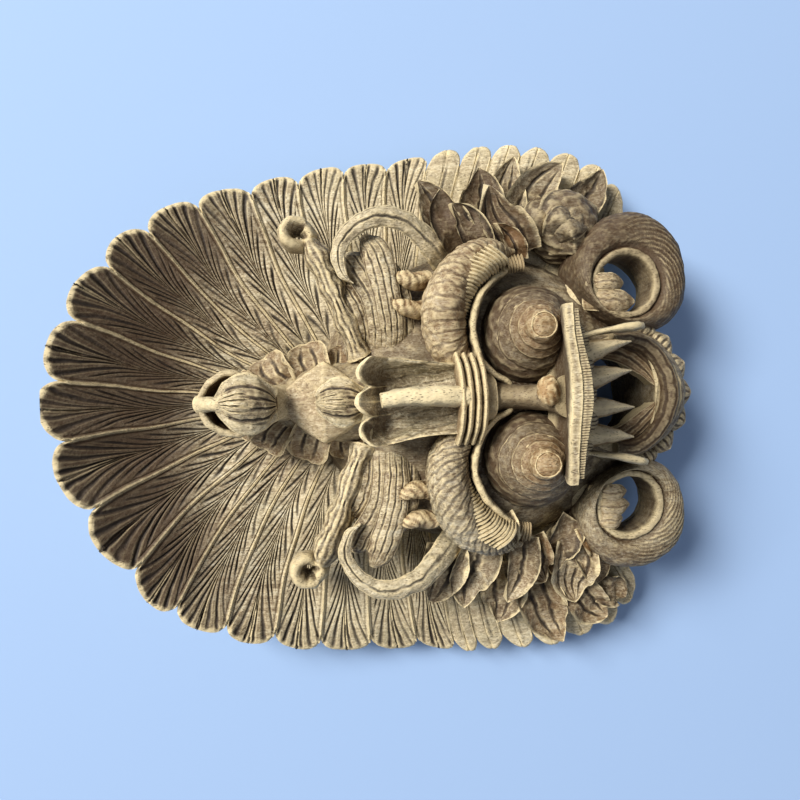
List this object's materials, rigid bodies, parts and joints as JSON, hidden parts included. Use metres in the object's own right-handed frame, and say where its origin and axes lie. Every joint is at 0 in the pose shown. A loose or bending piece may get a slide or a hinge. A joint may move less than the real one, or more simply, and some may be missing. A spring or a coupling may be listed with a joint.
{
  "type": "carved wall mask",
  "caption": "Carved wooden guardian mask with a fan of feathers, bulging eyes, fangs, curled horns and cheek rings, hollow behind and open through the mouth.",
  "frame": {"origin": "middle of the mask's outline at the plane of its flat back rim, as it lies on its back", "axes": "+Z out of the face, +Y from the chin to the top of the feather crown, +X to the side of the viewer's right when the mask hangs upright"},
  "size_m": [0.3522, 0.398, 0.15],
  "materials": {
    "carved_wood": "raw, unpainted, hand carved"
  },
  "bodies": {
    "root": {"mask": "carved_wood"}
  },
  "joints": []
}
